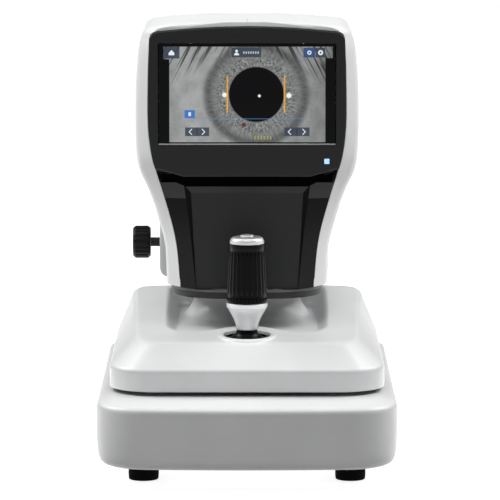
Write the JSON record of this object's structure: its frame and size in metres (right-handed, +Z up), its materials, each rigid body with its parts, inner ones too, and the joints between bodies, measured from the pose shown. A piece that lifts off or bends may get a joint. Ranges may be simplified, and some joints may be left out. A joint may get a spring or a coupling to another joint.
{
  "type": "autorefractor",
  "caption": "Table-top autorefractor with a tilted touch screen, a joystick carriage that slides both ways, a head that lifts, and a chin and forehead rest.",
  "frame": {"origin": "middle of the whole object's footprint, on the table the feet stand on, with the head, carriage and joystick centred", "axes": "+Z up, +Y from the operator's side with the screen towards the patient's side with the chin rest, +X to the operator's right"},
  "size_m": [0.269, 0.4699, 0.4055],
  "materials": {
    "white_cover": "satin moulded",
    "white_metal": "powder coated",
    "black_fascia": "fine matt moulded",
    "grip_black": "matt moulded",
    "skirt_grey": "matt moulded",
    "silver_trim": "satin anodised",
    "steel": "ground",
    "aluminium": "machined",
    "brass": "machined",
    "black_rubber": "matt",
    "silicone_pad": "soft matt",
    "screen_glass": "polished",
    "coated_lens": "polished, coated",
    "paper": "plain thermal paper",
    "status_blue": "lit",
    "ring_light": "diffusing"
  },
  "bodies": {
    "base": {"base_shell": "white_cover", "base_plate": "steel", "foot_front_left": "black_rubber", "foot_front_right": "black_rubber", "foot_rear_left": "black_rubber", "foot_rear_right": "black_rubber", "stage_bed": "aluminium", "y_rail_left": "steel", "y_rail_right": "steel", "headrest_front": "white_cover", "headrest_rear": "white_cover", "headrest_arch_left": "white_metal", "headrest_arch_right": "white_metal", "forehead_bar": "white_metal", "forehead_pad": "silicone_pad", "printer_frame": "black_fascia", "inlet_module": "black_fascia"},
    "cross_slide": {"cross_plate": "aluminium", "y_block_left": "steel", "y_block_right": "steel", "x_rail_front": "steel", "x_rail_rear": "steel"},
    "carriage": {"carriage_cover": "white_cover", "carriage_plate": "aluminium", "x_block_front": "steel", "x_block_rear": "steel", "lift_column": "aluminium", "lift_motor": "skirt_grey"},
    "lift_drive": {"lift_screw": "steel"},
    "gimbal": {"gimbal_ring": "steel"},
    "stick": {"stick_stem": "steel", "stick_shield": "grip_black", "stick_collar": "silver_trim"},
    "grip": {"stick_grip": "grip_black", "grip_cap": "silver_trim"},
    "trigger": {"trigger_button": "silver_trim"},
    "head": {"head_cover_left": "white_cover", "head_cover_right": "white_cover", "lower_fascia": "black_fascia", "screen_bezel": "black_fascia", "touch_glass": "screen_glass", "lcd_module": "black_fascia", "status_light": "status_blue", "head_skirt": "skirt_grey", "objective_housing": "black_fascia", "mire_ring": "ring_light", "objective_lens": "coated_lens", "rear_cover": "black_fascia", "optics_plate": "aluminium", "lens_barrel": "skirt_grey", "camera_module": "skirt_grey", "lift_slide": "brass"},
    "chin_rest": {"chin_post": "aluminium", "chin_cup": "white_cover"},
    "chin_drive": {"chin_pinion": "steel", "chin_knob": "grip_black"},
    "power_switch": {"power_rocker": "black_fascia"},
    "printer_door": {"printer_door": "white_cover"},
    "paper": {"paper_roll": "paper"},
    "platen": {"platen_roller": "black_rubber"}
  },
  "joints": [
    {"name": "y_slide", "type": "slide", "parent": "base", "child": "cross_slide", "axis": [0, 1, 0], "range_m": [-0.02, 0.02]},
    {"name": "x_slide", "type": "slide", "parent": "cross_slide", "child": "carriage", "axis": [1, 0, 0], "range_m": [-0.043, 0.043]},
    {"name": "head_lift", "type": "slide", "parent": "carriage", "child": "head", "axis": [0, 0, 1], "range_m": [-0.015, 0.015]},
    {"name": "lift_screw_turn", "type": "hinge", "parent": "carriage", "child": "lift_drive", "pos_m": [0, 0.048, 0.15], "axis": [0, 0, 1], "range_deg": [-676, 676]},
    {"name": "stick_fore_aft", "type": "hinge", "parent": "carriage", "child": "gimbal", "pos_m": [0, -0.11, 0.085], "axis": [1, 0, 0], "range_deg": [-10, 10]},
    {"name": "stick_side", "type": "hinge", "parent": "gimbal", "child": "stick", "pos_m": [0, -0.11, 0.085], "axis": [0, 1, 0], "range_deg": [-10, 10]},
    {"name": "grip_turn", "type": "hinge", "parent": "stick", "child": "grip", "pos_m": [0, -0.11, 0.18], "axis": [0, 0, 1], "continuous": true},
    {"name": "trigger_press", "type": "slide", "parent": "grip", "child": "trigger", "axis": [0, 0, 1], "range_m": [-0.0018, 0], "stiffness_N_per_m": 600, "springref_m": 0.001},
    {"name": "chin_lift", "type": "slide", "parent": "base", "child": "chin_rest", "axis": [0, 0, 1], "range_m": [-0.026, 0.026]},
    {"name": "chin_knob_turn", "type": "hinge", "parent": "base", "child": "chin_drive", "pos_m": [-0.05, 0.165, 0.174], "axis": [1, 0, 0], "range_deg": [-249, 249]},
    {"name": "power_toggle", "type": "hinge", "parent": "base", "child": "power_switch", "pos_m": [-0.1269, 0.078, 0.046], "axis": [0, 1, 0], "range_deg": [0, 12]},
    {"name": "printer_door_swing", "type": "hinge", "parent": "base", "child": "printer_door", "pos_m": [0.1329, -0.03, 0.0308], "axis": [0, 1, 0], "range_deg": [0, 75]},
    {"name": "paper_turn", "type": "hinge", "parent": "base", "child": "paper", "pos_m": [0.103, -0.03, 0.046], "axis": [0, 1, 0], "continuous": true},
    {"name": "platen_turn", "type": "hinge", "parent": "base", "child": "platen", "pos_m": [0.1263, -0.03, 0.061], "axis": [0, 1, 0], "continuous": true}
  ],
  "couplings": [
    {"joint": "lift_screw_turn", "follows": "head_lift", "rad_per_m": 785.4},
    {"joint": "chin_knob_turn", "follows": "chin_lift", "rad_per_m": 166.67}
  ]
}
